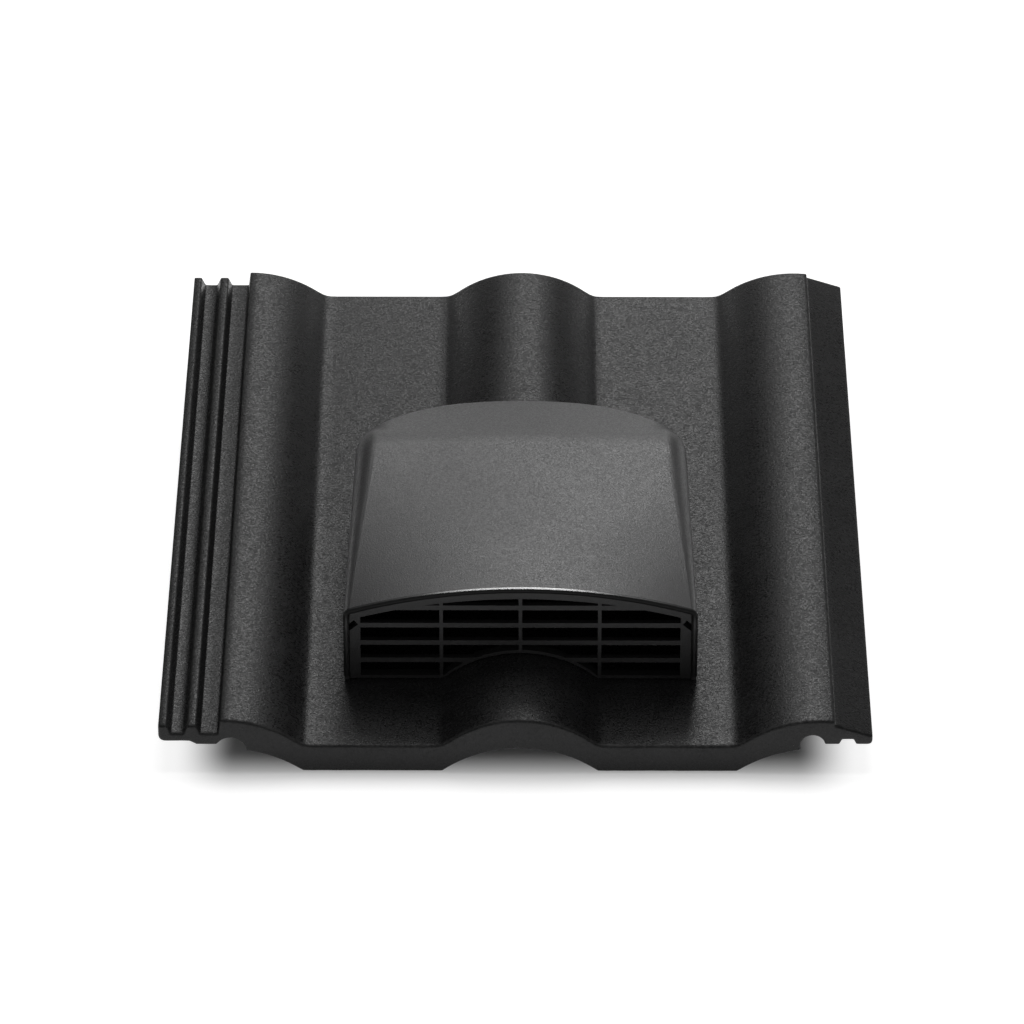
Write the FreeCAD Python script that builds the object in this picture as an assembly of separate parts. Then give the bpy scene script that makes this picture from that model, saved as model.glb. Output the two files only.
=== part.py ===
# Roof tile vent: an interlocking concrete tile with two pans and a middle roll, a moulded hood
# over the roll, a grille in the hood's mouth, and a throat sleeve clamped on from below.
# Millimetres. +X runs to the right seen from the tail, +Y up the slope from tail to head,
# +Z out of the roof. The origin lies under the middle of the tile, level with the nib feet.
import FreeCAD, Part
import math
import os

V = FreeCAD.Vector

# Lengths and slopes that differ by less than this count as equal
tolerance = 0.01

# Tile, overall
tile_length = 420.0
tile_width = 330.0
tile_thickness = 14.0
nib_depth = 20.0
nib_width = 46.0
nib_foot_length = 14.0
nib_back_slope = 8.0
nib_side_draft = 5.0
nib_head_setback = 4.0

# Tile section across the slope, levels counted from the top of the pans
roll_rise = 14.0
roll_thickening = 1.6
roll_half_width = 36.0
lap_roll_reach = 38.0
underlock_width = 28.7
overlock_reach = 24.3

# Underlock at the left edge: two ribs and two water channels
channel_level = 6.6
channel_width = 5.8
rib_height = 4.3
rib_top = 3.8
rib_flank = 2.0
lock_step_lean = 1.0
lock_web = 4.4
lock_shelf_width = 14.5
lock_shelf_drop = 1.8
lock_shelf_flank = 3.0
lock_corner = 3.0
scallop_inner = 11.8
scallop_outer = 1.7
scallop_height = 3.6

# Overlock at the right edge: a cover strip above, two ribs and two grooves below
strip_width = 17.5
strip_step = 2.0
strip_edge_level = 5.9
cover_level = 1.0
cover_rib = 7.6
cover_rib_flank = 1.2
cover_notch = 5.2
cover_notch_depth = 2.7
inner_rib = 6.7
cover_groove = 11.0
cover_groove_depth = 4.8
cover_corner = 2.0

# Hood
hood_width = 165.0
hood_setback = 57.0
hood_length = 213.0
hood_wall = 2.4
mouth_height = 50.3
mouth_arch_radius = 280.0
brow_distance = 152.0
brow_height = 42.5
brow_radius = 60.0
rear_height = 28.5
rear_arch_radius = 450.0
hood_corner_radius = 60.0
hood_back_radius = 200.0
hood_side_taper = 0.9
hood_front_radius = 4.0
hood_rear_radius = 10.5
hood_lip_radius = 0.9

# Grille in the hood's mouth
grille_recess = 0.8
grille_depth = 5.0
grille_clearance = 0.3
grille_post = 5.0
grille_top_rim = 3.5
grille_foot_rim = 1.6
clip_notch_width = 3.0
clip_notch_length = 8.0
clip_notch_level = 28.6
clip_notch_angle = 40.0
upright_thickness = 1.7
upright_pitch = 37.0
upright_count = 3
slat_thickness = 2.5
slat_pitch = 9.6
slat_first_level = 10.4
slat_count = 4
bar_depth = 3.0

# Throat sleeve, gasket and screws
throat_setback = 191.0
throat_width = 110.0
throat_length = 62.0
throat_corner = 12.0
sleeve_clearance = 1.0
sleeve_wall = 2.5
upstand_height = 27.0
flange_margin = 19.0
flange_thickness = 2.5
spigot_drop = 2.5
gasket_thickness = 2.0
screw_spread = 128.0
screw_span = 46.0
screw_shank = 4.0
screw_engagement = 14.0
screw_head = 8.0
screw_head_height = 2.4
screw_head_bevel = 1.0
screw_clearance = 1.0
pilot_clearance = 0.1
pilot_spare_depth = 3.0
boss_diameter = 11.0
driver_cross = 4.4
driver_slot = 1.1
driver_depth = 1.3

# Places that follow from the sizes above
tail_y = -tile_length / 2
head_y = tile_length / 2
left_edge = -tile_width / 2
right_edge = tile_width / 2
pan_bottom = nib_depth
pan_top = pan_bottom + tile_thickness
left_crown = left_edge + underlock_width
right_crown = right_edge - overlock_reach
left_pan_edge = left_crown + lap_roll_reach
right_pan_edge = right_crown - lap_roll_reach
vent_x = (left_pan_edge + right_pan_edge) / 2
roll_left = vent_x - roll_half_width
roll_right = vent_x + roll_half_width
mouth_y = tail_y + hood_setback
back_y = mouth_y + hood_length
throat_y = tail_y + throat_setback
flange_bottom = pan_bottom - gasket_thickness - flange_thickness


class Roll:
    """One side of a roll: a circle through its crown and the edge of the pan beside it."""

    def __init__(self, crown, half_width, rise, foot_level):
        self.crown = crown
        self.radius = (half_width ** 2 + rise ** 2) / (2 * rise)
        self.centre_level = foot_level + rise - self.radius

    def level(self, x):
        return self.centre_level + math.sqrt(self.radius ** 2 - (x - self.crown) ** 2)


class TileSide:
    """The upper or the under side of the tile, or a copy of it at another level: flat pans and rolls."""

    def __init__(self, pan_level, rise):
        self.pan_level = pan_level
        self.left = Roll(left_crown, lap_roll_reach, rise, pan_level)
        self.middle = Roll(vent_x, roll_half_width, rise, pan_level)
        self.right = Roll(right_crown, lap_roll_reach, rise, pan_level)


def upper_side(raised=0.0):
    return TileSide(raised, roll_rise)


def under_side(lowered=0.0):
    return TileSide(-tile_thickness - lowered, roll_rise - roll_thickening)


class Outline:
    """A closed outline across the slope, drawn edge by edge, with levels from the pan tops."""

    def __init__(self, x, level):
        self.first = V(x, 0, pan_top + level)
        self.here = self.first
        self.edges = []

    def line(self, x, level):
        target = V(x, 0, pan_top + level)
        self.edges.append(Part.makeLine(self.here, target))
        self.here = target

    def arc(self, middle, x, level):
        """A round stretch through a middle point, given as (x, level)."""
        target = V(x, 0, pan_top + level)
        through = V(middle[0], 0, pan_top + middle[1])
        self.edges.append(Part.Arc(self.here, through, target).toShape())
        self.here = target

    def along(self, roll, x):
        """Follow a roll from here to x."""
        middle_x = (self.here.x + x) / 2
        self.arc((middle_x, roll.level(middle_x)), x, roll.level(x))

    def across(self, side, x):
        """From one pan over the middle roll to x in the other pan, on one side of the tile."""
        near, far = (roll_left, roll_right) if x > self.here.x else (roll_right, roll_left)
        self.line(near, side.pan_level)
        self.along(side.middle, far)
        self.line(x, side.pan_level)

    def bar(self, y_from, y_to):
        self.edges.append(Part.makeLine(self.here, self.first))
        face = Part.Face(Part.Wire(self.edges))
        face.translate(V(0, y_from, 0))
        return face.extrude(V(0, y_to - y_from, 0))


def box(x_from, x_to, y_from, y_to, z_from, z_to):
    return Part.makeBox(x_to - x_from, y_to - y_from, z_to - z_from, V(x_from, y_from, z_from))


def throat_prism(growth, z_from, z_to):
    """An upright prism in the throat's rounded plan, grown on every side."""
    half_x = throat_width / 2 + growth
    half_y = throat_length / 2 + growth
    block = box(vent_x - half_x, vent_x + half_x, throat_y - half_y, throat_y + half_y, z_from, z_to)
    upright = [edge for edge in block.Edges if edge.BoundBox.ZLength > tolerance]
    upright = [edge for edge in upright if edge.BoundBox.DiagonalLength - edge.BoundBox.ZLength < tolerance]
    return block.makeFillet(throat_corner + growth, upright)


def at_screws(diameter, z_from, z_to):
    """One cylinder at each of the four screws, as a list."""
    return [
        Part.makeCylinder(diameter / 2, z_to - z_from, V(vent_x + dx, throat_y + dy, z_from))
        for dx in (-screw_spread / 2, screw_spread / 2)
        for dy in (-screw_span / 2, screw_span / 2)
    ]


def vent_band(upper, lower):
    """A band round the throat that follows pans and roll, between two tile sides."""
    left = vent_x - throat_width / 2 - flange_margin
    right = vent_x + throat_width / 2 + flange_margin
    half_length = throat_length / 2 + flange_margin
    outline = Outline(left, upper.pan_level)
    outline.across(upper, right)
    outline.line(right, lower.pan_level)
    outline.across(lower, left)
    return outline.bar(throat_y - half_length, throat_y + half_length)


def below(side):
    """Everything under the pans and the middle roll, from tail to head and down to the nib feet."""
    outline = Outline(left_pan_edge, side.pan_level)
    outline.across(side, right_pan_edge)
    outline.line(right_pan_edge, -pan_top)
    outline.line(left_pan_edge, -pan_top)
    return outline.bar(tail_y, head_y)


def tile_bar():
    """The tile's section, clockwise from the foot of its left edge, drawn out to its length."""
    rib_level = channel_level + rib_height
    second_rib = left_edge + rib_top + rib_flank + channel_width
    strip_left = right_edge - strip_width
    diagonal = 1 - math.sqrt(0.5)
    upper = upper_side()
    under = under_side()

    # Upper side, left to right
    shelf_level = channel_level - lock_web
    outline = Outline(left_edge + lock_corner, shelf_level)
    corner = lock_corner * diagonal
    outline.arc((left_edge + corner, shelf_level + corner), left_edge, shelf_level + lock_corner)
    outline.line(left_edge, rib_level)
    outline.line(left_edge + rib_top, rib_level)
    outline.line(left_edge + rib_top + rib_flank, channel_level)
    outline.line(second_rib, channel_level)
    outline.line(second_rib + rib_flank, rib_level)
    outline.line(second_rib + rib_flank + rib_top, rib_level)
    outline.line(second_rib + 2 * rib_flank + rib_top, channel_level)
    outline.line(left_crown - lock_step_lean, channel_level)
    outline.line(left_crown, roll_rise)
    outline.along(upper.left, left_pan_edge)
    outline.across(upper, right_pan_edge)
    outline.along(upper.right, strip_left)
    outline.line(strip_left, upper.right.level(strip_left) - strip_step)
    outline.line(right_edge, strip_edge_level)

    # Overlock from below, right to left
    outline.line(right_edge, cover_level + cover_corner)
    corner = cover_corner * diagonal
    outline.arc((right_edge - corner, cover_level + corner), right_edge - cover_corner, cover_level)
    rib_left = right_edge - cover_rib
    outline.line(rib_left, cover_level)
    outline.line(rib_left - cover_rib_flank, cover_level + cover_notch_depth)
    notch_left = rib_left - cover_rib_flank - cover_notch
    outline.line(notch_left, cover_level + cover_notch_depth)
    outline.line(notch_left - cover_rib_flank, cover_level)
    groove_right = notch_left - cover_rib_flank - inner_rib
    outline.line(groove_right, cover_level)
    groove_left = groove_right - cover_groove
    groove_top = (groove_right - cover_groove / 2, cover_level + cover_groove_depth)
    outline.arc(groove_top, groove_left, under.right.level(groove_left))

    # Underside of the pans and rolls, then the underlock from below
    outline.along(under.right, right_pan_edge)
    outline.across(under, left_pan_edge)
    scallop_right = left_crown + scallop_inner
    scallop_left = left_crown - scallop_outer
    outline.along(under.left, scallop_right)
    rear_level = shelf_level - lock_shelf_drop
    scallop_top = ((scallop_left + scallop_right) / 2, rear_level + scallop_height)
    outline.arc(scallop_top, scallop_left, rear_level)
    outline.line(left_edge + lock_shelf_width + lock_shelf_flank, rear_level)
    outline.line(left_edge + lock_shelf_width, shelf_level)
    return outline.bar(tail_y, head_y)


def nib(centre_x):
    """A hanging nib: square towards the tail, sloped towards the head and at both sides."""
    root_half = nib_width / 2
    foot_half = root_half - nib_side_draft
    root_length = nib_foot_length + nib_back_slope
    tail_face = head_y - nib_head_setback - root_length
    # The wedge is made lying down, foot first, then turned upright
    wedge = Part.makeWedge(
        centre_x - foot_half, 0, -tail_face - nib_foot_length, -tail_face - root_length, centre_x - root_half,
        centre_x + foot_half, pan_bottom, -tail_face, -tail_face, centre_x + root_half,
    )
    wedge.rotate(V(0, 0, 0), V(1, 0, 0), 90)
    return wedge


def make_tile():
    body = tile_bar()
    nibs = [nib((left_pan_edge + roll_left) / 2), nib((roll_right + right_pan_edge) / 2)]
    body = body.fuse(nibs).removeSplitter()
    throat = throat_prism(0, 0, pan_top + 2 * roll_rise)
    holes = at_screws(screw_shank + 2 * screw_clearance, 0, pan_top + roll_rise)
    return body.cut([throat] + holes)


def hood_plan(inset):
    """The hood's plan: sides closing in to the rear, round corners and a bowed back, drawn in by inset."""
    taper = math.radians(hood_side_taper)
    half = hood_width / 2 - inset / math.cos(taper)
    corner = hood_corner_radius - inset
    back = hood_back_radius - inset
    back_centre = V(vent_x, back_y - hood_back_radius, 0)
    edges = []
    fronts = []
    rears = []
    for sign in (-1, 1):
        front = V(vent_x + sign * half, mouth_y, 0)
        rearward = V(-sign * math.sin(taper), math.cos(taper), 0)
        inward = V(-sign * math.cos(taper), -math.sin(taper), 0)
        # The corner's circle touches the side and, from within, the back
        outward = front + inward * corner - back_centre
        ahead = outward.dot(rearward)
        run = math.sqrt(ahead ** 2 - outward.Length ** 2 + (back - corner) ** 2) - ahead
        outward += rearward * run
        centre = back_centre + outward
        outward.normalize()
        between = outward - inward
        between.normalize()
        start = front + rearward * run
        end = centre + outward * corner
        edges.append(Part.makeLine(front, start))
        edges.append(Part.Arc(start, centre + between * corner, end).toShape())
        fronts.append(front)
        rears.append(end)
    middle = back_centre + V(0, back, 0)
    edges.append(Part.Arc(rears[0], middle, rears[1]).toShape())
    edges.append(Part.makeLine(fronts[0], fronts[1]))
    return Part.Face(Part.Wire(Part.__sortEdges__(edges)))


def above_hood(lowered):
    """The space over the hood's top: arched at mouth and rear, straight across at the brow."""
    half = hood_width / 2 + hood_rear_radius
    sky = pan_top + 2 * mouth_height

    def section(y, level, arch_radius):
        z = pan_top + level - lowered
        drop = arch_radius - math.sqrt(arch_radius ** 2 - half ** 2) if arch_radius else 0
        left = V(vent_x - half, y, z - drop)
        right = V(vent_x + half, y, z - drop)
        lower = Part.makeLine(left, right)
        if arch_radius:
            lower = Part.Arc(left, V(vent_x, y, z), right).toShape()
        upper = Part.makePolygon([right, V(right.x, y, sky), V(left.x, y, sky), left])
        return Part.Wire([lower] + upper.Edges)

    mouth = section(mouth_y, mouth_height, mouth_arch_radius)
    brow = section(mouth_y + brow_distance, brow_height, None)
    rear = section(back_y, rear_height, rear_arch_radius)
    return [Part.makeLoft([mouth, brow], True, True), Part.makeLoft([brow, rear], True, True)]


def brow_edge(form):
    """The one edge across the form where the arched top meets the falling rear."""
    brow_y = mouth_y + brow_distance
    across = [edge for edge in form.Edges if edge.BoundBox.YLength < tolerance]
    return [edge for edge in across if abs(edge.CenterOfMass.y - brow_y) < tolerance]


def rim_edge(form):
    """The edge beside the mouth where the top of the form's left half meets its side."""
    beside = [edge for edge in form.Edges if abs(edge.BoundBox.YMin - mouth_y) < tolerance]
    beside = [edge for edge in beside if edge.BoundBox.YLength > tolerance and edge.BoundBox.XMax < vent_x]
    return max(beside, key=lambda edge: edge.CenterOfMass.z)


def hood_form(inset):
    """The hood's outer form drawn in by inset on all sides, standing on the nib feet's level."""
    block = hood_plan(inset).extrude(V(0, 0, pan_top + mouth_height))
    form = block.cut(above_hood(inset))
    form = form.makeFillet(brow_radius - inset, brow_edge(form))
    left = form.common(box(vent_x - hood_width, vent_x, mouth_y, back_y, 0, pan_top + mouth_height))
    # The rim grows rounder along the side, then stays as round along the corner and the back
    left = left.makeFillet(hood_front_radius - inset, hood_rear_radius - inset, [rim_edge(left)])
    right = left.mirror(V(vent_x, 0, 0), V(1, 0, 0))
    return left.fuse(right).removeSplitter()


def lip_edges(form):
    """The outer edges of the form's mouth, from the pans up and over the arch."""
    lip = [edge for edge in form.Edges if edge.BoundBox.YMax < mouth_y + tolerance]
    return [edge for edge in lip if edge.BoundBox.ZMax > pan_top]


def make_hood():
    outer = hood_form(0)
    outer = outer.makeFillet(hood_lip_radius, lip_edges(outer))
    shell = outer.cut(hood_form(hood_wall))
    bosses = [boss.common(outer) for boss in at_screws(boss_diameter, pan_top, pan_top + mouth_height)]
    hood = shell.fuse(bosses).cut(below(upper_side()))
    pilot_top = pan_top + screw_engagement + pilot_spare_depth
    pilots = at_screws(screw_shank + 2 * pilot_clearance, pan_top, pilot_top)
    return hood.cut(pilots).removeSplitter()


def mouth_slab(side_inset, top_inset, floor):
    """The hood's mouth as a flat slab at the grille's place, drawn in and raised off the tile."""
    half = hood_width / 2 - side_inset
    front = mouth_y + grille_recess
    slab = box(vent_x - half, vent_x + half, front, front + grille_depth, 0, pan_top + mouth_height)
    return slab.cut(above_hood(top_inset) + [below(upper_side(floor))])


def clip_notch(side):
    """A slanted slot at an upper outer corner of the grille, where its clip springs in."""
    post_edge = hood_width / 2 - hood_wall - grille_clearance
    half_length = clip_notch_length / 2
    half_width = clip_notch_width / 2
    slot = box(-half_length, half_length, mouth_y, mouth_y + 2 * grille_depth, -half_width, half_width)
    slot.rotate(V(0, 0, 0), V(0, 1, 0), side * clip_notch_angle)
    slot.translate(V(vent_x + side * post_edge, 0, pan_top + clip_notch_level))
    return slot


def make_grille():
    seat = hood_wall + grille_clearance
    front = mouth_y + grille_recess
    slab = mouth_slab(seat, seat, grille_clearance).common(hood_form(seat))
    opening = mouth_slab(seat + grille_post, seat + grille_top_rim, grille_clearance + grille_foot_rim)
    frame = slab.cut([opening, clip_notch(-1), clip_notch(1)])

    half = hood_width / 2
    back = front + bar_depth
    bars = []
    for i in range(upright_count):
        left = vent_x + (i - (upright_count - 1) / 2) * upright_pitch - upright_thickness / 2
        bars.append(box(left, left + upright_thickness, front, back, pan_bottom, pan_top + mouth_height))
    for i in range(slat_count):
        z = pan_top + slat_first_level + i * slat_pitch - slat_thickness / 2
        bars.append(box(vent_x - half, vent_x + half, front, back, z, z + slat_thickness))
    lattice = bars[0].fuse(bars[1:]).common(opening)
    return frame.fuse(lattice).removeSplitter()


def make_throat_sleeve():
    bore = -sleeve_clearance - sleeve_wall
    top = pan_top + upstand_height
    bottom = flange_bottom - spigot_drop
    duct = throat_prism(-sleeve_clearance, bottom, top)
    flange = vent_band(under_side(gasket_thickness), under_side(gasket_thickness + flange_thickness))
    holes = at_screws(screw_shank + screw_clearance, 0, pan_top)
    return duct.fuse(flange).cut([throat_prism(bore, 0, top + sleeve_wall)] + holes).removeSplitter()


def make_sleeve_gasket():
    pad = vent_band(under_side(), under_side(gasket_thickness))
    holes = at_screws(screw_shank + screw_clearance, 0, pan_top)
    return pad.cut([throat_prism(0, 0, pan_top + roll_rise)] + holes)


def make_hood_screws():
    head_bottom = flange_bottom - screw_head_height
    heads = at_screws(screw_head, head_bottom, flange_bottom)
    shanks = at_screws(screw_shank, head_bottom + driver_depth, pan_top + screw_engagement)
    screws = []
    for head, shank in zip(heads, shanks):
        lower_rim = [edge for edge in head.Edges if abs(edge.BoundBox.ZMax - head_bottom) < tolerance]
        screw = head.makeChamfer(screw_head_bevel, lower_rim).fuse(shank)
        x, y, _ = shank.CenterOfMass
        for long_x, long_y in ((driver_cross, driver_slot), (driver_slot, driver_cross)):
            slot = box(x - long_x / 2, x + long_x / 2, y - long_y / 2, y + long_y / 2,
                       head_bottom, head_bottom + driver_depth)
            screw = screw.cut(slot)
        screws.append(screw.removeSplitter())
    return Part.makeCompound(screws)


pieces = {
    "tile": make_tile(),
    "hood": make_hood(),
    "grille": make_grille(),
    "throat_sleeve": make_throat_sleeve(),
    "sleeve_gasket": make_sleeve_gasket(),
    "hood_screws": make_hood_screws(),
}

os.makedirs("parts", exist_ok=True)
for name, shape in pieces.items():
    shape.exportStep(f"parts/{name}.step")
    print(name, "solids", len(shape.Solids), "valid", shape.isValid(), "volume", round(shape.Volume))
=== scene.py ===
import math
import bpy
import bmesh
from mathutils import Matrix, Vector


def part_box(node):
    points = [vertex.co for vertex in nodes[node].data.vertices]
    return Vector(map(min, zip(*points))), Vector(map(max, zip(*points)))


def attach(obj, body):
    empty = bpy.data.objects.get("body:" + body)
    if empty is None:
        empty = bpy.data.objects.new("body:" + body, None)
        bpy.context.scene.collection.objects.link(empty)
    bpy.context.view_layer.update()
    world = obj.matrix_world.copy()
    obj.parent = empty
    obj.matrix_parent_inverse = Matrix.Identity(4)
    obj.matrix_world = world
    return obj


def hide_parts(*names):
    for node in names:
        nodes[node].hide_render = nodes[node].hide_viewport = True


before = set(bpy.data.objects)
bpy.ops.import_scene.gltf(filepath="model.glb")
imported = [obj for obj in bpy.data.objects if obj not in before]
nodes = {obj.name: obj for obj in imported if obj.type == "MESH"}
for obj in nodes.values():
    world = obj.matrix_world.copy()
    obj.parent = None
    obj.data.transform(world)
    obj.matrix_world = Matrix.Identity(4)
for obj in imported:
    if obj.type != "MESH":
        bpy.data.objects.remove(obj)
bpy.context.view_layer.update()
scene = bpy.context.scene
print("frame loaded:", ", ".join(sorted(nodes)))


# Node sockets with operators, so that node maths reads as expressions
class Wire:
    def __init__(self, tree, socket=None):
        self.tree = tree
        self.socket = socket

    def make(self, kind, settings=None, sockets=None, output=0):
        node = self.tree.nodes.new(kind)
        for key, value in (settings or {}).items():
            setattr(node, key, value)
        for key, value in (sockets or {}).items():
            if isinstance(value, Wire):
                self.tree.links.new(value.socket, node.inputs[key])
            else:
                node.inputs[key].default_value = value
        return Wire(self.tree, node.outputs[output]) if node.outputs else node

    def calc(self, operation, *values):
        return self.make("ShaderNodeMath", {"operation": operation}, dict(enumerate(values)))

    def then(self, operation, *others):
        return self.calc(operation, self, *others)

    def __add__(self, other):
        return self.calc("ADD", self, other)

    def __sub__(self, other):
        return self.calc("SUBTRACT", self, other)

    def __rsub__(self, other):
        return self.calc("SUBTRACT", other, self)

    def __mul__(self, other):
        return self.calc("MULTIPLY", self, other)

    __radd__ = __add__
    __rmul__ = __mul__

    def centred(self):
        # Noise from 0 to 1 as a swing about zero
        return self - 0.5

    def step(self, low, high):
        return self.make("ShaderNodeMapRange", {"interpolation_type": "SMOOTHSTEP"},
                         {"Value": self, "From Min": low, "From Max": high})

    def blend(self, first, second):
        return self.make("ShaderNodeMix", {"data_type": "RGBA"}, {0: self, 6: first, 7: second}, 2)

    def noise(self, scale, detail=2.0, rough=0.5):
        return self.make("ShaderNodeTexNoise", None,
                         {"Vector": self, "Scale": scale, "Detail": detail, "Roughness": rough})

    def cells(self, scale, output=0):
        return self.make("ShaderNodeTexVoronoi", None, {"Vector": self, "Scale": scale}, output)

    def stretched(self, scale):
        return self.make("ShaderNodeMapping", None, {"Vector": self, "Scale": scale})

    def split(self, axis):
        return self.make("ShaderNodeSeparateXYZ", None, {0: self}, axis)


def newMaterial(name):
    material = bpy.data.materials.new(name)
    material.use_nodes = True
    tree = material.node_tree
    tree.nodes.clear()
    wire = Wire(tree)
    coords = wire.make("ShaderNodeTexCoord", None, None, "Object")
    return material, wire, coords


def finishMaterial(wire, sockets, height=None, bumpDepth=0.0):
    if height is not None:
        sockets["Normal"] = wire.make("ShaderNodeBump", None,
                                      {"Strength": 1.0, "Distance": bumpDepth, "Height": height})
    shader = wire.make("ShaderNodeBsdfPrincipled", None, sockets)
    wire.make("ShaderNodeOutputMaterial", None, {"Surface": shader})


concreteFinish = {
    "shade": (0.007, 0.007, 0.0072),
    "shadeLight": (0.014, 0.014, 0.0143),
    "speck": (0.075, 0.074, 0.072),
    "worn": (0.034, 0.0335, 0.033),
    "grain": 820,
    "fineGrain": 1900,
    "grains": 1250,
    "clump": 260,
    "patch": 34,
    "drag": (420, 5, 420),
    "sand": 900,
    "sandGroup": 310,
    "rubbing": 240,
    "roughness": 0.34,
    "roughnessSpread": 0.85,
    "grainsSpread": 0.30,
    "clumpSpread": 0.16,
    "patchSpread": 0.12,
    "edgeRoughness": 0.35,
    "specular": 0.25,
    "bumpDepth": 0.00026,
    "tonePatch": 0.5,
    "toneDrag": 0.2,
    "toneGrain": 0.55,
    "toneRange": (0.42, 0.82),
    "sandSize": (0.18, 0.09),
    "sandRange": (0.56, 0.70),
    "rubbingStroke": 0.7,
    "rubbingGrain": 0.5,
    "rubbingRange": (0.5, 0.78),
    "roughGrain": 0.6,
    "roughFine": 0.4,
    "bumpGrain": 0.7,
    "bumpFine": 0.3,
}


def concreteMaterial(name, finish):
    material, wire, coords = newMaterial(name)
    grain = coords.noise(finish["grain"], detail=3, rough=0.6)
    fine = coords.noise(finish["fineGrain"])
    patch = coords.noise(finish["patch"], detail=4, rough=0.6)
    drag = coords.stretched(finish["drag"]).noise(1, detail=3, rough=0.6)
    tone = patch * finish["tonePatch"] + drag * finish["toneDrag"] + grain * finish["toneGrain"]
    colour = tone.step(*finish["toneRange"]).blend((*finish["shade"], 1), (*finish["shadeLight"], 1))
    sand = coords.cells(finish["sand"]).step(*finish["sandSize"])
    sand = sand * coords.noise(finish["sandGroup"], detail=1).step(*finish["sandRange"])
    colour = sand.blend(colour, (*finish["speck"], 1))
    # Edges rubbed lighter, in broken strokes
    edge = wire.make("ShaderNodeAttribute", {"attribute_name": "edgeWear"}, None, "Fac")
    strokes = coords.noise(finish["rubbing"], detail=3, rough=0.65) * finish["rubbingStroke"]
    strokes = strokes + grain * finish["rubbingGrain"]
    rubbed = edge * strokes.step(*finish["rubbingRange"])
    colour = rubbed.blend(colour, (*finish["worn"], 1))
    clumps = coords.noise(finish["clump"])
    grains = coords.cells(finish["grains"], output="Color").split(0) * fine * 2
    mixed = grain * finish["roughGrain"] + fine * finish["roughFine"]
    rough = finish["roughness"] + mixed.centred() * finish["roughnessSpread"]
    rough = rough + grains.centred() * finish["grainsSpread"] + clumps.centred() * finish["clumpSpread"]
    rough = rough + patch.centred() * finish["patchSpread"] + edge * finish["edgeRoughness"]
    height = grain * finish["bumpGrain"] + fine * finish["bumpFine"]
    sockets = {"Base Color": colour, "Roughness": rough, "Specular IOR Level": finish["specular"]}
    finishMaterial(wire, sockets, height, finish["bumpDepth"])
    return material


hoodFinish = {
    "shade": (0.016, 0.0157, 0.0163),
    "shadeLight": (0.026, 0.0256, 0.0264),
    "grain": 1500,
    "patch": 22,
    "roughness": 0.46,
    "roughnessSpread": 0.60,
    "grains": 1400,
    "grainsShare": 0.24,
    "patchSpread": 0.12,
    "matterSides": 0.4,
    "middle": 0.0022,
    "crown": 0.0843,
    "arch": 0.280,
    "sideReach": (0.062, 0.074),
    "sideDrop": (0.0015, 0.006),
    "specular": 1.0,
    "bumpDepth": 0.00011,
    "tonePatch": 0.7,
    "toneGrain": 0.3,
    "toneRange": (0.3, 0.7),
}


def plasticMaterial(name, finish):
    material, wire, coords = newMaterial(name)
    grain = coords.noise(finish["grain"])
    patch = coords.noise(finish["patch"], detail=3, rough=0.55)
    tone = patch * finish["tonePatch"] + grain * finish["toneGrain"]
    colour = tone.step(*finish["toneRange"]).blend((*finish["shade"], 1), (*finish["shadeLight"], 1))
    grains = coords.cells(finish["grains"], output="Color").split(0)
    rough = finish["roughness"] + grain.centred() * finish["roughnessSpread"]
    rough = rough + patch.centred() * finish["patchSpread"]
    rough = rough + grains.centred() * finish["roughnessSpread"] * finish["grainsShare"]
    if finish["matterSides"]:
        # The sides are what lies far out and below the arch of the top
        across = (coords.split(0) - finish["middle"]).then("ABSOLUTE")
        below = finish["crown"] - across * across * (0.5 / finish["arch"]) - coords.split(2)
        side = across.step(*finish["sideReach"]) * below.step(*finish["sideDrop"])
        rough = rough + side * finish["matterSides"]
    sockets = {"Base Color": colour, "Roughness": rough, "Specular IOR Level": finish["specular"]}
    finishMaterial(wire, sockets, grain, finish["bumpDepth"])
    return material


grilleFinish = dict(hoodFinish, shade=(0.022, 0.022, 0.0224), shadeLight=(0.032, 0.032, 0.0324),
                    roughness=0.50, roughnessSpread=0.25, matterSides=0.0, specular=0.42)
sleeveFinish = dict(grilleFinish, shade=(0.014, 0.014, 0.0145), shadeLight=(0.020, 0.020, 0.0205))
foamFinish = dict(grilleFinish, shade=(0.010, 0.010, 0.010), shadeLight=(0.018, 0.018, 0.018), grain=1100,
                  roughness=0.9, bumpDepth=0.0004)

# The lip's colours are painted light: a lighter painted highlight where it faces up, and darker painted
# shade beneath
lipFinish = {
    "shade": (0.006, 0.006, 0.006),
    "paintedHighlightShade": (0.030, 0.0295, 0.0305),
    "grain": 1500,
    "middle": 0.0022,
    "paintedHighlightFacingUp": (0.62, 0.86),
    "paintedHighlightReach": (0.050, 0.015),
    "paintedHighlightBreak": 0.12,
    "restGloss": 0.2,
    "sideLevel": (0.071, 0.064),
    "sideGloss": 0.2,
    "roughness": 0.55,
    "roughnessSpread": 0.1,
    "specular": 0.2,
    "coatRoughness": 0.26,
    "coatIor": 4.0,
    "bumpDepth": 0.00006,
}


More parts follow.
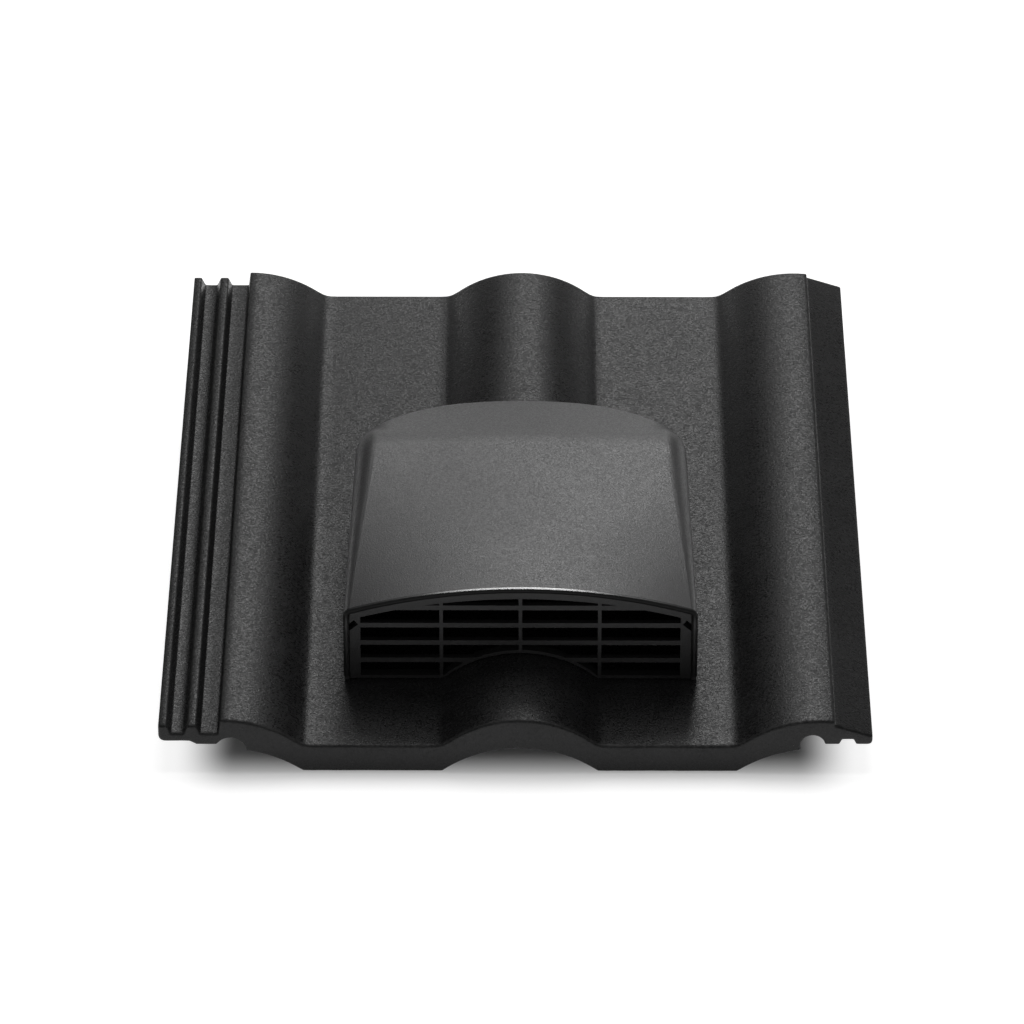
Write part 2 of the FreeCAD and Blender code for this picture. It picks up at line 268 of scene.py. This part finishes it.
def lipMaterial(name, finish):
    # Painted highlight: lighter, with a glossy coat, where the lip faces up and most in the middle of the
    # arch; painted shade: dull and dark beneath
    material, wire, coords = newMaterial(name)
    grain = coords.noise(finish["grain"])
    upward = wire.make("ShaderNodeAttribute", {"attribute_name": "facingUp"}, None, "Fac")
    glossAndPaintedHighlight = (upward + grain.centred() * finish["paintedHighlightBreak"]).step(*finish["paintedHighlightFacingUp"])
    fromMiddle = (coords.split(0) - finish["middle"]).then("ABSOLUTE")
    rest = finish["restGloss"]
    glossAndPaintedHighlight = glossAndPaintedHighlight * (rest + (1 - rest) * fromMiddle.step(*finish["paintedHighlightReach"]))
    glossAndPaintedHighlight = glossAndPaintedHighlight.then("MAXIMUM", coords.split(2).step(*finish["sideLevel"]) * finish["sideGloss"])
    colour = glossAndPaintedHighlight.blend((*finish["shade"], 1), (*finish["paintedHighlightShade"], 1))
    rough = finish["roughness"] + grain.centred() * finish["roughnessSpread"]
    sockets = {"Base Color": colour, "Roughness": rough, "Specular IOR Level": finish["specular"],
               "Coat Weight": glossAndPaintedHighlight, "Coat Roughness": finish["coatRoughness"],
               "Coat IOR": finish["coatIor"]}
    finishMaterial(wire, sockets, grain, finish["bumpDepth"])
    return material


screwFinish = {
    "shade": (0.46, 0.46, 0.44),
    "shadeLight": (0.62, 0.62, 0.61),
    "toneRange": (0.35, 0.7),
    "patch": 300,
    "grain": 2500,
    "roughness": 0.28,
    "roughnessSpread": 0.2,
    "bumpDepth": 0.00003,
}


def screwMaterial(name, finish):
    material, wire, coords = newMaterial(name)
    patch = coords.noise(finish["patch"], detail=3, rough=0.6)
    colour = patch.step(*finish["toneRange"]).blend((*finish["shade"], 1), (*finish["shadeLight"], 1))
    rough = finish["roughness"] + patch * finish["roughnessSpread"]
    sockets = {"Base Color": colour, "Roughness": rough, "Metallic": 1.0}
    finishMaterial(wire, sockets, coords.noise(finish["grain"]), finish["bumpDepth"])
    return material


finishes = {
    "tile": concreteMaterial("darkConcrete", concreteFinish),
    "hood": plasticMaterial("hoodPlastic", hoodFinish),
    "grille": plasticMaterial("grillePlastic", grilleFinish),
    "throat_sleeve": plasticMaterial("sleevePlastic", sleeveFinish),
    "sleeve_gasket": plasticMaterial("sealFoam", foamFinish),
    "hood_screws": screwMaterial("zincScrew", screwFinish),
}
for name, material in finishes.items():
    data = nodes[name].data
    data.materials.clear()
    data.materials.append(material)
print("materials set on", len(finishes), "pieces")


def newObject(name, data):
    piece = bpy.data.objects.new(name, data)
    scene.collection.objects.link(piece)
    return piece


def polyline(name, points, closed):
    data = bpy.data.curves.new(name, "CURVE")
    data.dimensions = "3D"
    spline = data.splines.new("POLY")
    spline.points.add(len(points) - 1)
    for point, place in zip(spline.points, points):
        point.co = (*place, 1)
    spline.use_cyclic_u = closed
    return newObject(name, data)


def baked(piece):
    graph = bpy.context.evaluated_depsgraph_get()
    return bpy.data.meshes.new_from_object(piece.evaluated_get(graph), depsgraph=graph)


def newTree(name, inputs):
    tree = bpy.data.node_groups.new(name, "GeometryNodeTree")
    for label, kind in inputs:
        tree.interface.new_socket(label, in_out="INPUT", socket_type="NodeSocket" + kind)
    tree.interface.new_socket("Geometry", in_out="OUTPUT", socket_type="NodeSocketGeometry")
    source = tree.nodes.new("NodeGroupInput")
    given = {socket.name: Wire(tree, socket) for socket in source.outputs if socket.name}
    return tree, Wire(tree), given


def closeTree(wire, geometry, material):
    real = wire.make("GeometryNodeRealizeInstances", None, {"Geometry": geometry})
    named = wire.make("GeometryNodeSetMaterial", None, {"Geometry": real, "Material": material})
    wire.make("NodeGroupOutput", None, {0: named})


def grownMesh(path, tree, values):
    # Run a node tree on a path and keep only the mesh that it makes
    modifier = path.modifiers.new("sweep", "NODES")
    modifier.node_group = tree
    for item in tree.interface.items_tree:
        if item.item_type == "SOCKET" and item.in_out == "INPUT" and item.name in values:
            modifier[item.identifier] = values[item.name]
    data = baked(path)
    bpy.data.objects.remove(path)
    return data


# Sizes of the tile's section in millimetres, levels from the top of the pans
tileSettings = {
    "width": 330.0, "thickness": 14.0, "panLevel": 34.0,
    "rollRise": 14.0, "rollThicker": 1.6, "rollHalf": 36.0, "lapReach": 38.0,
    "underlock": 28.7, "overlock": 24.3,
    "channel": 6.6, "channelWidth": 5.8, "ribHeight": 4.3, "ribTop": 3.8, "ribFlank": 2.0, "stepLean": 1.0,
    "web": 4.4, "shelf": 14.5, "shelfDrop": 1.8, "shelfFlank": 3.0, "lockCorner": 3.0,
    "scallopIn": 11.8, "scallopOut": 1.7, "scallopRise": 3.6,
    "strip": 17.5, "stripStep": 2.0, "stripEdge": 5.9,
    "cover": 1.0, "coverRib": 7.6, "coverFlank": 1.2, "notch": 5.2, "notchDepth": 2.7, "innerRib": 6.7,
    "groove": 11.0, "grooveDepth": 4.8, "coverCorner": 2.0,
    "softness": 0.42, "footSoftness": 2.6, "footReach": 12.0,
    "spacing": 0.15, "shortestStep": 0.3, "longestStep": 3.2, "turnStep": 9.0,
    "rowStep": 4.0, "endRows": (0.0, 0.12, 0.35, 0.7, 1.3, 2.4, 4.2, 7.0), "endRound": 1.3,
    "uneven": 0.10, "unevenScale": 55.0, "seed": 3.0,
    "chipping": 0.30, "chipScale": 260.0, "chipFull": 0.5, "chipReach": 7.0,
    "nibWidth": 46.0, "nibFoot": 14.0, "nibSlope": 8.0, "nibDraft": 5.0, "nibSetback": 4.0, "nibRound": 1.6,
    "nibOverlap": 1.5,
    "throatY": -19.0, "throatWidth": 110.0, "throatLength": 62.0, "throatCorner": 12.0,
    "screwSpread": 128.0, "screwSpan": 46.0, "screwHole": 6.0, "cutHeight": 90.0, "sliver": 0.001,
    "wearFrom": 0.12, "wearTo": 0.6, "wearWidth": 0.2, "endwise": 0.85, "endwiseFade": 0.4,
    "sharpAngle": 40.0,
}


def arcPoints(start, middle, end, step=0.5):
    # Points on the circle through three points, without the first one
    a, b, c = (Vector(p) for p in (start, middle, end))
    aa, bb, cc = (p.length_squared for p in (a, b, c))
    d = 2 * (a.x * (b.y - c.y) + b.x * (c.y - a.y) + c.x * (a.y - b.y))
    centre = Vector(((aa * (b.y - c.y) + bb * (c.y - a.y) + cc * (a.y - b.y)) / d,
                     (aa * (c.x - b.x) + bb * (a.x - c.x) + cc * (b.x - a.x)) / d))
    radius = (a - centre).length
    angles = [math.atan2(p.y - centre.y, p.x - centre.x) for p in (a, b, c)]
    toMiddle = (angles[1] - angles[0] + math.pi) % (2 * math.pi) - math.pi
    toEnd = (angles[2] - angles[1] + math.pi) % (2 * math.pi) - math.pi
    sweep = toMiddle + toEnd
    count = max(3, round(abs(sweep) * radius / step))
    return [(centre.x + radius * math.cos(angles[0] + sweep * i / count),
             centre.y + radius * math.sin(angles[0] + sweep * i / count)) for i in range(1, count + 1)]


class Roll:
    def __init__(self, crown, half, rise, foot):
        self.crown = crown
        self.radius = (half ** 2 + rise ** 2) / (2 * rise)
        self.centre = foot + rise - self.radius

    def level(self, x):
        return self.centre + math.sqrt(self.radius ** 2 - (x - self.crown) ** 2)


def tileOutline(s):
    # The section clockwise from the foot of the left edge, as (x, level)
    left, right = -s["width"] / 2, s["width"] / 2
    leftCrown, rightCrown = left + s["underlock"], right - s["overlock"]
    leftPan, rightPan = leftCrown + s["lapReach"], rightCrown - s["lapReach"]
    ventX = (leftPan + rightPan) / 2
    rollLeft, rollRight = ventX - s["rollHalf"], ventX + s["rollHalf"]
    rolls = ((leftCrown, s["lapReach"]), (ventX, s["rollHalf"]), (rightCrown, s["lapReach"]))
    top = [Roll(crown, half, s["rollRise"], 0) for crown, half in rolls]
    low = [Roll(crown, half, s["rollRise"] - s["rollThicker"], -s["thickness"]) for crown, half in rolls]
    shelf = s["channel"] - s["web"]
    points = [(left + s["lockCorner"], shelf)]

    def line(x, level):
        points.append((x, level))

    def arc(middle, x, level):
        points.extend(arcPoints(points[-1], middle, (x, level)))

    def along(roll, x):
        middle = (points[-1][0] + x) / 2
        arc((middle, roll.level(middle)), x, roll.level(x))

    def rib(x):
        line(x, s["channel"] + s["ribHeight"])
        line(x + s["ribTop"], s["channel"] + s["ribHeight"])
        line(x + s["ribTop"] + s["ribFlank"], s["channel"])

    # Left edge: two ribs, each with a channel to its right
    bend = 1 - math.sqrt(0.5)
    corner = s["lockCorner"] * bend
    arc((left + corner, shelf + corner), left, shelf + s["lockCorner"])
    rib(left)
    channelEnd = left + s["ribTop"] + s["ribFlank"] + s["channelWidth"]
    line(channelEnd, s["channel"])
    rib(channelEnd + s["ribFlank"])
    line(leftCrown - s["stepLean"], s["channel"])
    line(leftCrown, s["rollRise"])
    along(top[0], leftPan)
    line(rollLeft, 0)
    along(top[1], rollRight)
    line(rightPan, 0)
    stripLeft = right - s["strip"]
    along(top[2], stripLeft)
    line(stripLeft, top[2].level(stripLeft) - s["stripStep"])
    line(right, s["stripEdge"])

    # Right edge and what is under it: cover rib, notch, inner rib and groove
    line(right, s["cover"] + s["coverCorner"])
    corner = s["coverCorner"] * bend
    arc((right - corner, s["cover"] + corner), right - s["coverCorner"], s["cover"])
    x = right
    for inward, depth in (("coverRib", 0), ("coverFlank", s["notchDepth"]), ("notch", s["notchDepth"]),
                          ("coverFlank", 0), ("innerRib", 0)):
        x -= s[inward]
        line(x, s["cover"] + depth)
    grooveLeft = x - s["groove"]
    arc((x - s["groove"] / 2, s["cover"] + s["grooveDepth"]), grooveLeft, low[2].level(grooveLeft))

    # Underside of the rolls and pans, then the scallop and shelf under the left edge
    along(low[2], rightPan)
    line(rollRight, -s["thickness"])
    along(low[1], rollLeft)
    line(leftPan, -s["thickness"])
    scallopRight, scallopLeft = leftCrown + s["scallopIn"], leftCrown - s["scallopOut"]
    along(low[0], scallopRight)
    rear = shelf - s["shelfDrop"]
    arc(((scallopLeft + scallopRight) / 2, rear + s["scallopRise"]), scallopLeft, rear)
    line(left + s["shelf"] + s["shelfFlank"], rear)
    line(left + s["shelf"], shelf)
    return points, ventX, (leftPan, rollLeft, rollRight, rightPan)


def averaged(places, i, weights):
    reach = len(weights) // 2
    total = Vector((0, 0))
    for k, weight in enumerate(weights):
        total += places[(i + k - reach) % len(places)] * weight
    return total


def bellWeights(spread, spacing):
    reach = round(3 * spread / spacing)
    weights = [math.exp(-0.5 * (k * spacing / spread) ** 2) for k in range(-reach, reach + 1)]
    return [weight / sum(weights) for weight in weights]


def softened(points, feet, s):
    # Even out the closed outline, round its corners a little and the feet of the rolls more,
    # then keep points by turn and distance
    dense = []
    for i, start in enumerate(points):
        a, b = Vector(start), Vector(points[(i + 1) % len(points)])
        count = max(1, round((b - a).length / s["spacing"]))
        dense += [a.lerp(b, k / count) for k in range(count)]
    narrow = bellWeights(s["softness"], s["spacing"])
    wide = bellWeights(s["footSoftness"], s["spacing"])
    n = len(dense)
    smooth = []
    for i, place in enumerate(dense):
        point = averaged(dense, i, narrow)
        fromFoot = min(abs(place.x - foot) for foot in feet) / s["footReach"]
        if fromFoot < 1 and place.y > -s["thickness"] / 2:
            point = point.lerp(averaged(dense, i, wide), (1 - fromFoot ** 2) ** 2)
        smooth.append(point)
    kept = [0]
    turned, gone = 0.0, 0.0
    for i in range(1, n):
        back, ahead = smooth[i] - smooth[i - 1], smooth[(i + 1) % n] - smooth[i]
        turned += abs(back.angle_signed(ahead, 0.0))
        gone += back.length
        bent = turned >= math.radians(s["turnStep"]) and gone >= s["shortestStep"]
        if bent or gone >= s["longestStep"]:
            kept.append(i)
            turned, gone = 0.0, 0.0
    return [smooth[i] for i in kept]


def sweepTree():
    sizes = ("Tail", "Head", "End Round", "Uneven", "Uneven Scale", "Chipping", "Chip Scale", "Chip Full",
             "Chip Reach", "Seed")
    inputs = [("Geometry", "Geometry"), ("Section", "Object")]
    inputs += [(size, "Float") for size in sizes] + [("Material", "Material")]
    tree, wire, given = newTree("sectionSweep", inputs)
    section = wire.make("GeometryNodeObjectInfo", None, {"Object": given["Section"]}, "Geometry")
    upright = wire.make("GeometryNodeSetCurveNormal", {"mode": "Z_UP"}, {"Curve": given["Geometry"]})
    swept = wire.make("GeometryNodeCurveToMesh", None, {"Curve": upright, "Profile Curve": section})

    # Rounded ends: the last rows draw in along a quarter circle
    place = wire.make("GeometryNodeInputPosition")
    fromTail = place.split(1) - given["Tail"]
    inward = fromTail.then("MINIMUM", given["Head"] - place.split(1))
    radius = given["End Round"]
    short = (radius - inward).then("MAXIMUM", 0.0)
    inset = radius - (radius * radius - short * short).then("SQRT")
    outward = wire.make("GeometryNodeInputNormal")
    drawn = wire.make("ShaderNodeVectorMath", {"operation": "SCALE"}, {0: outward, "Scale": inset * -1.0})
    rounded = wire.make("GeometryNodeSetPosition", None, {"Geometry": swept, "Offset": drawn})

    # Slightly uneven casting, and a coarser edge towards the cut tail
    def wobble(scale, size):
        cloud = wire.make("ShaderNodeTexNoise", {"noise_dimensions": "4D"},
                          {"Vector": place, "W": given["Seed"], "Scale": scale, "Detail": 3.0}, "Color")
        level = wire.make("ShaderNodeVectorMath", {"operation": "SUBTRACT"}, {0: cloud, 1: (0.5, 0.5, 0.5)})
        return wire.make("ShaderNodeVectorMath", {"operation": "SCALE"}, {0: level, "Scale": size})

    nearTail = 1 - fromTail.step(given["Chip Full"], given["Chip Reach"])
    broad = wobble(given["Uneven Scale"], given["Uneven"])
    chips = wobble(given["Chip Scale"], given["Chipping"] * nearTail)
    shift = wire.make("ShaderNodeVectorMath", {"operation": "ADD"}, {0: broad, 1: chips})
    cast = wire.make("GeometryNodeSetPosition", None, {"Geometry": rounded, "Offset": shift})
    closeTree(wire, cast, given["Material"])
    return tree


def mm(*values):
    return tuple(value / 1000 for value in values)


def wedge(bm, foot, root, zFoot, zRoot):
    # A closed block between two level rectangles, each given as (x0, x1, y0, y1)
    rings = []
    for (x0, x1, y0, y1), z in ((foot, zFoot), (root, zRoot)):
        rings.append([bm.verts.new(mm(x, y, z)) for x, y in ((x0, y0), (x1, y0), (x1, y1), (x0, y1))])
    bm.faces.new(rings[0][::-1])
    bm.faces.new(rings[1])
    for i in range(4):
        bm.faces.new((rings[0][i], rings[0][(i + 1) % 4], rings[1][(i + 1) % 4], rings[1][i]))


def roundedPrism(bm, x, y, width, length, corner, z0, z1, steps=6):
    places = []
    for i, (sx, sy) in enumerate(((1, 1), (-1, 1), (-1, -1), (1, -1))):
        for k in range(steps + 1):
            angle = math.radians(90 * (i + k / steps))
            places.append((x + sx * (width / 2 - corner) + corner * math.cos(angle),
                           y + sy * (length / 2 - corner) + corner * math.sin(angle)))
    rings = [[bm.verts.new(mm(px, py, z)) for px, py in places] for z in (z0, z1)]
    bm.faces.new(rings[0][::-1])
    bm.faces.new(rings[1])
    n = len(places)
    for i in range(n):
        bm.faces.new((rings[0][i], rings[0][(i + 1) % n], rings[1][(i + 1) % n], rings[1][i]))


def meshObject(name, build):
    bm = bmesh.new()
    build(bm)
    bmesh.ops.recalc_face_normals(bm, faces=bm.faces)
    data = bpy.data.meshes.new(name)
    bm.to_mesh(data)
    bm.free()
    return newObject(name, data)


def joinSolid(piece, other, operation):
    modifier = piece.modifiers.new(operation.lower(), "BOOLEAN")
    modifier.operation = operation
    modifier.solver = "EXACT"
    modifier.object = other
    result = baked(piece)
    piece.modifiers.clear()
    piece.data = result
    bpy.data.objects.remove(other)


def clamped(value):
    return min(1.0, max(0.0, value))


def markEdges(data, name, s):
    # How sharply the surface bends outwards at each corner, in radians per millimetre, as 0 to 1,
    # with none on faces that look along the tile
    low, high = s["wearFrom"], s["wearTo"]
    bm = bmesh.new()
    bm.from_mesh(data)
    layer = bm.loops.layers.float.new(name)
    for vert in bm.verts:
        bend = 0.0
        for edge in vert.link_edges:
            if len(edge.link_faces) == 2:
                area = sum(face.calc_area() for face in edge.link_faces) / 2
                across = area / max(edge.calc_length(), 1e-6) * 1000
                bend = max(bend, edge.calc_face_angle_signed(0.0) / max(across, s["wearWidth"]))
        wear = clamped((bend - low) / (high - low))
        for corner in vert.link_loops:
            corner[layer] = wear * clamped((s["endwise"] - abs(corner.face.normal.y)) / s["endwiseFade"])
    bm.to_mesh(data)
    bm.free()


def makeTile(s, material):
    points, ventX, feet = tileOutline(s)
    outline = softened(points, feet, s)
    section = polyline("tileSection", [mm(x, -(s["panLevel"] + level), 0) for x, level in outline], True)
    tail, head = (corner[1] * 1000 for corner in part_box("tile"))
    ends = s["endRows"]
    middle = head - tail - 2 * ends[-1]
    rows = round(middle / s["rowStep"])
    stations = [tail + e for e in ends]
    stations += [tail + ends[-1] + middle * i / rows for i in range(1, rows)]
    stations += [head - e for e in reversed(ends)]
    path = polyline("tileBody", [mm(0, y, 0) for y in stations], False)
    swept = grownMesh(path, sweepTree(), {
        "Section": section, "Tail": tail / 1000, "Head": head / 1000, "End Round": s["endRound"] / 1000,
        "Uneven": s["uneven"] / 1000, "Uneven Scale": s["unevenScale"], "Seed": s["seed"],
        "Chipping": s["chipping"] / 1000, "Chip Scale": s["chipScale"], "Chip Full": s["chipFull"] / 1000,
        "Chip Reach": s["chipReach"] / 1000, "Material": material})
    bpy.data.objects.remove(section)
    bm = bmesh.new()
    bm.from_mesh(swept)
    for tailEnd in (True, False):
        rim = [edge for edge in bm.edges if edge.is_boundary and (edge.verts[0].co.y < 0) == tailEnd]
        bmesh.ops.triangle_fill(bm, use_beauty=True, edges=rim)
    bmesh.ops.recalc_face_normals(bm, faces=bm.faces)
    bm.to_mesh(swept)
    bm.free()
    tile = newObject("tileBody", swept)

    def nibs(bm):
        # Wedges under the middle of each pan, carried on into the concrete by the overlap
        pan = feet[1] - feet[0]
        tailFace = head - s["nibSetback"] - s["nibFoot"] - s["nibSlope"]
        footHalf = s["nibWidth"] / 2 - s["nibDraft"]
        root = s["panLevel"] - s["thickness"]
        grow = 1 + s["nibOverlap"] / root
        rootHalf = footHalf + grow * s["nibDraft"]
        for side in (-1, 1):
            x = ventX + side * (s["rollHalf"] + pan / 2)
            wedge(bm, (x - footHalf, x + footHalf, tailFace, tailFace + s["nibFoot"]),
                  (x - rootHalf, x + rootHalf, tailFace, tailFace + s["nibFoot"] + s["nibSlope"] * grow),
                  0, root + s["nibOverlap"])
        offset = s["nibRound"] / 1000
        footEdges = [edge for edge in bm.edges if min(v.co.z for v in edge.verts) < offset]
        bmesh.ops.bevel(bm, geom=footEdges, offset=offset, segments=3, profile=0.5, affect="EDGES")

    def holes(bm):
        y, top = s["throatY"], s["cutHeight"]
        roundedPrism(bm, ventX, y, s["throatWidth"], s["throatLength"], s["throatCorner"], 0, top)
        hole = s["screwHole"]
        for dx in (-1, 1):
            for dy in (-1, 1):
                roundedPrism(bm, ventX + dx * s["screwSpread"] / 2, y + dy * s["screwSpan"] / 2,
                             hole, hole, hole / 2 - s["sliver"], 0, top, steps=4)

    joinSolid(tile, meshObject("tileNibs", nibs), "UNION")
    joinSolid(tile, meshObject("tileHoles", holes), "DIFFERENCE")
    tile.data.materials.clear()
    tile.data.materials.append(material)
    markEdges(tile.data, "edgeWear", s)
    tile.data.shade_smooth()
    tile.data.set_sharp_from_angle(angle=math.radians(s["sharpAngle"]))
    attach(tile, "root")
    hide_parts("tile")
    return tile


tileBody = makeTile(tileSettings, finishes["tile"])
print("tile swept:", len(tileBody.data.polygons), "faces")


# The hood's rounded lip, over the arch of its mouth and down both sides, in millimetres
lipSettings = {"centreX": 2.2, "mouthY": -153.0, "crown": 84.3, "arch": 280.0, "half": 82.5, "corner": 4.0,
               "foot": 36.0, "radius": 1.45, "sunk": 1.15, "back": 0.55,
               "turns": 14, "archSteps": 40, "cornerSteps": 8, "sharpAngle": 50.0}


def lipTree():
    inputs = (("Geometry", "Geometry"), ("Radius", "Float"), ("Turns", "Int"), ("Material", "Material"))
    tree, wire, given = newTree("lipSweep", inputs)
    ring = wire.make("GeometryNodeCurvePrimitiveCircle", None,
                     {"Resolution": given["Turns"], "Radius": given["Radius"]})
    swept = wire.make("GeometryNodeCurveToMesh", None,
                      {"Curve": given["Geometry"], "Profile Curve": ring, "Fill Caps": True})
    closeTree(wire, swept, given["Material"])
    return tree


def makeLip(s, material):
    archZ = s["crown"] - s["arch"]
    arch, corner = s["arch"] - s["sunk"], s["corner"] - s["sunk"]
    cornerX = s["half"] - s["corner"]
    cornerZ = archZ + math.sqrt((s["arch"] - s["corner"]) ** 2 - cornerX ** 2)
    lean = math.atan2(cornerX, cornerZ - archZ)
    right = []
    for i in range(s["archSteps"] + 1):
        angle = lean * i / s["archSteps"]
        right.append((math.sin(angle) * arch, archZ + math.cos(angle) * arch))
    for i in range(1, s["cornerSteps"] + 1):
        angle = lean + (math.pi / 2 - lean) * i / s["cornerSteps"]
        right.append((cornerX + corner * math.sin(angle), cornerZ + corner * math.cos(angle)))
    right.append((s["half"] - s["sunk"], s["foot"]))
    outline = [(-x, z) for x, z in reversed(right[1:])] + right
    y = s["mouthY"] + s["back"]
    path = polyline("hoodLip", [mm(s["centreX"] + x, y, z) for x, z in outline], False)
    values = {"Radius": s["radius"] / 1000, "Turns": s["turns"], "Material": material}
    data = grownMesh(path, lipTree(), values)
    facingUp = data.attributes.new("facingUp", "FLOAT", "POINT")
    facingUp.data.foreach_set("value", [vert.normal.z for vert in data.vertices])
    lip = newObject("hoodLip", data)
    lip.data.shade_smooth()
    lip.data.set_sharp_from_angle(angle=math.radians(s["sharpAngle"]))
    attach(lip, "root")
    return lip


hoodLip = makeLip(lipSettings, lipMaterial("lipPlastic", lipFinish))
print("lip swept:", len(hoodLip.data.polygons), "faces")


# The tile stands on its nib feet and on the lower edge of its tail. Near the tile the floor's glow drops to
# a painted contact shadow
floorSettings = {"nibFootY": 0.184, "tailY": -0.210, "tailZ": 0.020, "below": 0.0002, "reach": 6.0,
                 "shade": (0.6, 0.6, 0.6), "glow": 0.86, "paintedShadowGlow": (0.02, 0.02, 0.02),
                 "paintedShadowBegin": -0.020, "paintedShadowEnd": 0.028, "paintedShadowSideBegin": 0.130, "paintedShadowSideEnd": 0.160}


def makeFloor(settings):
    slope = settings["tailZ"] / (settings["tailY"] - settings["nibFootY"])
    reach = settings["reach"]
    data = bpy.data.meshes.new("floor")
    corners = [(x, y, slope * (y - settings["nibFootY"]) - settings["below"])
               for x, y in ((-reach, -reach), (reach, -reach), (reach, reach), (-reach, reach))]
    data.from_pydata(corners, [], [(0, 1, 2, 3)])
    floor = newObject("floor", data)
    material, wire, coords = newMaterial("paleFloor")
    # Painted contact shadow: the glow fades to almost nothing under the tile, just past its tail and head
    # lines and beside its sides
    across = coords.split(0).then("ABSOLUTE").step(settings["paintedShadowSideBegin"], settings["paintedShadowSideEnd"])
    beyond = coords.split(1).then("ABSOLUTE") + settings["tailY"]
    along = beyond.step(settings["paintedShadowBegin"], settings["paintedShadowEnd"])
    glow = 1 - (1 - across) * (1 - along)
    paintedShadowEmission = glow.blend((*settings["paintedShadowGlow"], 1), (1.0, 1.0, 1.0, 1))
    sockets = {"Base Color": (*settings["shade"], 1), "Roughness": 0.9, "Specular IOR Level": 0.1,
               "Emission Color": paintedShadowEmission, "Emission Strength": settings["glow"]}
    finishMaterial(wire, sockets)
    data.materials.append(material)


makeFloor(floorSettings)

lightSettings = {
    "leftPanel": {"place": (-0.355, 1.90, 1.58), "aim": (-0.355, 0.0, 1.18), "width": 0.29, "depth": 0.76,
                  "power": 1.6},
    "middlePanel": {"place": (-0.115, 1.90, 1.58), "aim": (-0.115, 0.0, 1.18), "width": 0.19, "depth": 0.76,
                    "power": 0.4},
    "rightPanel": {"place": (0.17, 1.90, 1.58), "aim": (0.17, 0.0, 1.18), "width": 0.38, "depth": 0.76,
                   "power": 5.8},
    "lowPanel": {"place": (0.12, 1.90, 0.82), "aim": (0.12, 0.0, 0.42), "width": 0.58, "depth": 0.76,
                 "power": 1.8},
    "rightWash": {"place": (0.75, 0.75, 0.28), "aim": (0.0, 0.12, 0.04), "width": 0.60, "depth": 0.50,
                  "power": 0.4},
    "headGlow": {"place": (0.0, 0.27, 0.035), "aim": (0.0, 0.0, 0.035), "width": 0.80, "depth": 0.07,
                 "power": 0.063},
    "topBox": {"place": (0.05, 0.40, 1.05), "aim": (0.0, -0.03, 0.0), "width": 0.80, "depth": 0.60,
               "power": 2.75},
    "lipLamp": {"place": (0.01, -0.15, 1.20), "aim": (0.0, -0.15, 0.08), "width": 0.16, "depth": 0.60,
                "power": 1.7},
    "frontFill": {"place": (0.0, -2.00, 1.05), "aim": (0.0, 0.0, 0.05), "width": 1.40, "depth": 1.10,
                  "power": 3.2},
    "leftFill": {"place": (-2.00, 0.0, 0.90), "aim": (0.0, 0.0, 0.05), "width": 1.00, "depth": 1.00,
                 "power": 2.6},
    "rightFill": {"place": (2.00, 0.0, 0.90), "aim": (0.0, 0.0, 0.05), "width": 1.00, "depth": 1.00,
                  "power": 2.6},
}


def addSoftbox(name, settings):
    data = bpy.data.lights.new(name, "AREA")
    data.shape = "RECTANGLE"
    data.size = settings["width"]
    data.size_y = settings["depth"]
    data.energy = settings["power"]
    light = newObject(name, data)
    light.location = settings["place"]
    aim = Vector(settings["aim"]) - Vector(settings["place"])
    light.rotation_euler = aim.to_track_quat("-Z", "Y").to_euler()
    light.visible_camera = False


for name, settings in lightSettings.items():
    addSoftbox(name, settings)

worldShade = (0.03, 0.03, 0.03, 1)
world = bpy.data.worlds.new("studio")
world.use_nodes = True
world.node_tree.nodes["Background"].inputs["Color"].default_value = worldShade
scene.world = world
scene.view_settings.view_transform = "Standard"
scene.view_settings.look = "None"
print("floor and", len(lightSettings), "lights set")

cameraSettings = {"lens": 255.06, "sensor": 36.0, "distance": 3.532, "elevation": 31.41, "turn": -0.171,
                  "aimX": -0.0022, "aimZ": 0.034, "lift": 0.00114, "clipEnd": 50.0}


def makeCamera(settings):
    tilt = math.radians(settings["elevation"])
    forward = Vector((0, math.cos(tilt), -math.sin(tilt)))
    up = Vector((0, math.sin(tilt), math.cos(tilt)))
    turn = Matrix.Rotation(-math.radians(settings["turn"]), 3, "Z")
    place = turn @ (-settings["distance"] * forward - settings["lift"] * up)
    place += Vector((settings["aimX"], 0, settings["aimZ"]))
    axes = [turn @ Vector((1, 0, 0)), turn @ up, turn @ -forward]
    data = bpy.data.cameras.new("camera")
    data.sensor_width = settings["sensor"]
    data.lens = settings["lens"]
    data.clip_end = settings["clipEnd"]
    camera = newObject("camera", data)
    camera.matrix_world = Matrix.Translation(place) @ Matrix(axes).transposed().to_4x4()
    scene.camera = camera


makeCamera(cameraSettings)
print("camera set")
